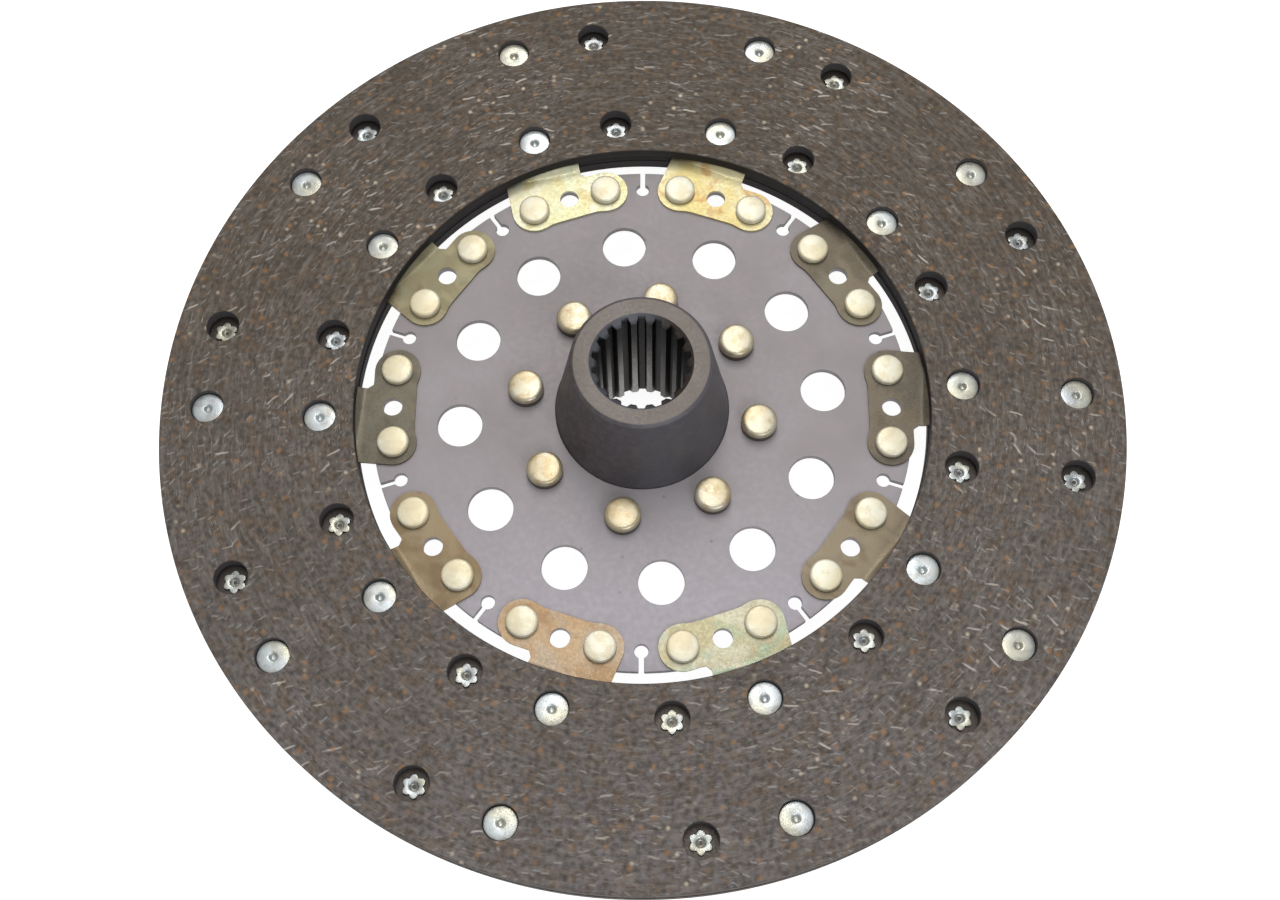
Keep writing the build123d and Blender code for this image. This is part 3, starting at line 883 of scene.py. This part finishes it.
def hubMaterial():
    # forged sides, turned end face, lead-in and bore, told apart by height and radius; painted shade and fill
    # light across the sides and the lead-in, painted shade keeping the bore nearly black, and painted light
    # on the tooth tips
    s = hubLook
    material, tree, shader, where = newMaterial("forgedHub")
    stain = effects(tree, where)[0]
    radius, height = fromAxis(tree, where)
    across = parts(tree, where)["X"]
    depth = calc(tree, "SUBTRACT", hubTop, height)
    inwards = calc(tree, "SUBTRACT", toothRoot, radius)
    cloud = stain(Scale=0.05, Low=0.35, High=0.65, Detail=4.0)
    grain = stain(Scale=0.9, Low=0.3, High=0.7, Detail=4.0)
    speckle = stain(Scale=0.35, Low=0.35, High=0.7, Detail=5.0)
    profile = addNode(tree, "ShaderNodeCombineXYZ", {"X": radius, "Z": height}).outputs["Vector"]
    rings = addNode(tree, "ShaderNodeTexNoise", {"Vector": profile, "Scale": 2.5, "Detail": 2.0})
    # painted shade on the left of the sides and painted bluish fill light on the right
    sides = mixColour(tree, ranged(tree, across, *s["sideLightAlongX"]), s["shadedSideColour"], s["fillLitSideColour"])
    sides = layered(tree, sides, (speckle, 0.5, (0.14, 0.13, 0.14)))
    endFace = mixColour(tree, cloud, (0.145, 0.122, 0.106), (0.18, 0.156, 0.14))
    endFace = layered(tree, endFace, (rings.outputs["Fac"], 0.2, (0.32, 0.29, 0.26)))
    # painted bluish reflection on the lead-in's left and painted shade on its right
    leadIn = mixColour(tree, ranged(tree, across, *s["leadInShade"]), (0.115, 0.12, 0.14),
                       (0.05, 0.036, 0.03))
    inBore = times(tree, ranged(tree, inwards, *(-outside for outside in s["boreWall"])),
                   ranged(tree, depth, *s["boreDepth"]))
    # painted light on the tooth tips, stronger towards the rear and the left, over a bore painted nearly
    # black as shade
    tipLight = times(tree, ranged(tree, inwards, *s["tipDepth"]), ranged(tree, depth, *s["tipLightFromRear"]))
    tipLight = times(tree, tipLight, ranged(tree, across, *s["tipsShade"]))
    teeth = mixColour(tree, tipLight, (0.01, 0.007, 0.007), (0.34, 0.32, 0.31))
    colour = mixColour(tree, ranged(tree, depth, *s["endFaceDepth"]), sides, endFace)
    inCone = ranged(tree, radius, leadInRadius + s["leadInEdge"], leadInRadius)
    colour = mixColour(tree, inCone, colour, leadIn)
    colour = layered(tree, mixColour(tree, inBore, colour, teeth), (grain, 0.08, (0.35, 0.32, 0.3)))
    tree.links.new(ranged(tree, inBore, 0, 1, *s["boreMetallic"]), shader.inputs["Metallic"])
    finish(tree, shader, colour, grain, (0.46, 0.6), 0.03)
    return material


# main and second colour, mottle, roughness, metallic, and the heights over the plate where the painted
# contact shade ends
rivetLooks = {
    "platedTube": ((0.62, 0.61, 0.5), (0.62, 0.67, 0.69), (0.36, 0.35, 0.32), (0.31, 0.43), 0.68, None),
    "yellowFootRivet": ((0.78, 0.7, 0.48), (0.84, 0.81, 0.66), (0.64, 0.55, 0.36), (0.37, 0.49), 0.35,
                        (1.7, 1.1)),
    "yellowHubRivet": ((0.54, 0.46, 0.3), (0.58, 0.54, 0.42), (0.4, 0.28, 0.13), (0.29, 0.41), 0.65,
                       (3.4, 2.4)),
}


def rivetMaterial(name):
    # plated rivet: cloudy colour, with a dull mottle, and painted contact shade where its head meets the
    # plate and all below it
    main, second, dull, roughness, metallic, contactShadeLevels = rivetLooks[name]
    material, tree, shader, where = newMaterial(name, metallic=metallic)
    stain = effects(tree, where)[0]
    cloud = stain(Scale=0.06, Low=0.4, High=0.6)
    mottle = stain(Scale=0.25, Low=0.46, High=0.64, Detail=4.0)
    grain = stain(Scale=2.2, Low=0.3, High=0.7, Detail=3.0)
    colour = layered(tree, mixColour(tree, cloud, main, second), (mottle, 0.5, dull))
    if contactShadeLevels:
        height = fromAxis(tree, where)[1]
        # painted contact shade: dark from just over the plate downwards
        contactShadeMask = ranged(tree, height, *(carrierTop + level for level in contactShadeLevels))
        colour = mixColour(tree, contactShadeMask, colour, (0.1, 0.085, 0.065))
    finish(tree, shader, colour, grain, roughness, 0.02)
    return material


# pieces

friction = frictionMaterial()
for side, end in ((1, "front"), (-1, "rear")):
    makePiece(f"frictionRing_{end}", facingPatches(side), friction, f"facing_{end}")
print("facings ready")

carrier = makePiece("carrierSheet", carrierPatches(), carrierMaterial(), "carrier_plate",
                    sheet=True)
thicken(carrier, carrierTop - carrierBottom, -1, carrierSettings["bevel"])
print("carrier plate ready")

# main colour, second colour, blots and sheen of each segment, clockwise from the first foot
segmentTints = [
    ((0.6, 0.57, 0.34), (0.66, 0.64, 0.46), (0.52, 0.44, 0.2), (0.58, 0.62, 0.45)),
    ((0.56, 0.47, 0.2), (0.6, 0.55, 0.33), (0.46, 0.25, 0.08), (0.5, 0.42, 0.22)),
    ((0.11, 0.088, 0.06), (0.16, 0.13, 0.088), (0.085, 0.07, 0.045), (0.15, 0.14, 0.095)),
    ((0.095, 0.078, 0.056), (0.135, 0.112, 0.08), (0.078, 0.066, 0.048), (0.15, 0.12, 0.075)),
    ((0.17, 0.132, 0.09), (0.22, 0.178, 0.118), (0.145, 0.105, 0.062), (0.24, 0.205, 0.125)),
    ((0.4, 0.36, 0.22), (0.47, 0.45, 0.33), (0.36, 0.31, 0.17), (0.26, 0.4, 0.29)),
    ((0.34, 0.22, 0.115), (0.4, 0.28, 0.165), (0.28, 0.165, 0.08), (0.38, 0.32, 0.25)),
    ((0.19, 0.132, 0.066), (0.25, 0.185, 0.105), (0.15, 0.098, 0.05), (0.26, 0.21, 0.13)),
    ((0.105, 0.092, 0.066), (0.145, 0.125, 0.088), (0.085, 0.072, 0.052), (0.14, 0.135, 0.1)),
    ((0.2, 0.172, 0.096), (0.27, 0.235, 0.138), (0.155, 0.125, 0.072), (0.23, 0.22, 0.135)),
]
oneSegment = segmentPatches()
for number, (angle, tints) in enumerate(zip(bladeAngles, segmentTints), start=1):
    patches = [(turned(points, angle), faces) for points, faces in oneSegment]
    blade = makePiece(f"cushionBlade_{number:02}", patches, segmentMaterial(number, *tints),
                      f"cushion_segment_{number:02}", sheet=True)
    thicken(blade, discSizes["bladeSheet"], 0, segmentSettings["bevel"])
print("cushion segments ready")

makePiece("splinedHub", hubPatches(), hubMaterial(), "hub")
print("hub ready")

tubeMetal = rivetMaterial("platedTube")
for rowName, row in (("outer", outerRow), ("inner", innerRow)):
    for sideName, side in (("front", 1), ("rear", -1)):
        profile, notch = facingRivetProfile(side)
        patches = turnedPieces(profile, rowPlaces(row, -side), rivetSettings["facing"]["columns"],
                               rivetSettings["roll"]["petals"], notch)
        makePiece(f"tubeRivets_{sideName}_{rowName}", patches, tubeMetal,
                  f"facing_rivets_{sideName}_{rowName}")

spread = np.radians(discSizes["footRivetAngle"])
places = polarPoint(footCircle, np.concatenate([footAngles - spread, footAngles + spread]))
profile = solidRivetProfile("segment", carrierTop + discSizes["bladeSheet"], carrierBottom)
patches = turnedPieces(profile, places, rivetSettings["segment"]["columns"])
makePiece("footRivets", patches, rivetMaterial("yellowFootRivet"), "segment_rivets")

s = rivetSettings["hub"]
angles = np.radians(s["start"]) + turn * np.arange(s["count"]) / s["count"]
profile = solidRivetProfile("hub", carrierTop, flangeBottom)
patches = turnedPieces(profile, polarPoint(hubSettings["bossRoot"] + s["offset"], angles), s["columns"])
makePiece("flangeRivets", patches, rivetMaterial("yellowHubRivet"), "hub_rivets")
print("rivets ready")


# floor, light and camera

stageSettings = {"floorDrop": 0.3, "floorSize": 4000.0, "floorGlow": 0.92, "floorGrey": 0.6,
                 "worldLight": 0.47}


def stageMaterial():
    # a white floor that keeps a soft shadow
    material = bpy.data.materials.new("whiteFloor")
    material.use_nodes = True
    tree = material.node_tree
    tree.nodes.remove(tree.nodes["Principled BSDF"])
    rays = addNode(tree, "ShaderNodeLightPath").outputs
    seen = calc(tree, "MAXIMUM", rays["Is Camera Ray"], rays["Is Glossy Ray"])
    seen = calc(tree, "MAXIMUM", seen, rays["Is Transmission Ray"])
    glow = addNode(tree, "ShaderNodeEmission", {"Strength": times(tree, seen, stageSettings["floorGlow"])})
    matt = addNode(tree, "ShaderNodeBsdfDiffuse", {"Color": (*[stageSettings["floorGrey"]] * 3, 1)})
    both = addNode(tree, "ShaderNodeAddShader", {0: glow.outputs["Emission"], 1: matt.outputs["BSDF"]})
    tree.links.new(both.outputs["Shader"], tree.nodes["Material Output"].inputs["Surface"])
    return material


half = stageSettings["floorSize"] / 2
corners = np.array([[[-half, -half], [half, -half]], [[-half, half], [half, half]]])
floorPoints = np.dstack([corners, np.full((2, 2), hubBottom - stageSettings["floorDrop"])])
floor = makePiece("floor", [gridPatch(floorPoints)], stageMaterial(), sheet=True)

world = bpy.data.worlds.new("studio")
bpy.context.scene.world = world
world.use_nodes = True
tree = world.node_tree
rays = addNode(tree, "ShaderNodeLightPath").outputs
background = tree.nodes["Background"]
background.inputs["Color"].default_value = (1, 1, 1, 1)
strength = ranged(tree, rays["Is Camera Ray"], 0, 1, stageSettings["worldLight"], 1.0)
tree.links.new(strength, background.inputs["Strength"])

lamps = {
    "strip": {"at": (0.0, 0.55, 1.25), "size": (0.34, 1.3), "power": 7.2, "colour": (1.0, 0.98, 0.95)},
    "fill": {"at": (0.3, -0.62, 0.6), "size": (0.4, 0.4), "power": 2.0, "colour": (0.92, 0.96, 1.0)},
}
for name, lamp in lamps.items():
    data = bpy.data.lights.new(name, "AREA")
    data.shape = "RECTANGLE"
    data.size, data.size_y = lamp["size"]
    data.energy = lamp["power"]
    data.color = lamp["colour"]
    holder = bpy.data.objects.new(name, data)
    holder.location = lamp["at"]
    holder.visible_camera = False
    holder.rotation_euler = (-Vector(lamp["at"])).to_track_quat("-Z", "Y").to_euler()
    bpy.context.collection.objects.link(holder)

cameraSettings = {"at": (0.00365, -0.23071, 0.54432), "lens": 45.278, "sensor": 36, "nearest": 0.01,
                  "back": (0.00741, -0.36496, 0.93099), "up": (-0.00058, 0.93102, 0.36497)}
cameraData = bpy.data.cameras.new("camera")
cameraData.lens = cameraSettings["lens"]
cameraData.sensor_width = cameraSettings["sensor"]
cameraData.clip_start = cameraSettings["nearest"]
camera = bpy.data.objects.new("camera", cameraData)
back = Vector(cameraSettings["back"]).normalized()
right = Vector(cameraSettings["up"]).cross(back).normalized()
up = back.cross(right)
aim = Matrix((right, up, back)).transposed().to_4x4()
camera.matrix_world = Matrix.Translation(cameraSettings["at"]) @ aim
bpy.context.collection.objects.link(camera)
scene = bpy.context.scene
scene.camera = camera
scene.view_settings.view_transform = "Standard"

print("stage ready")
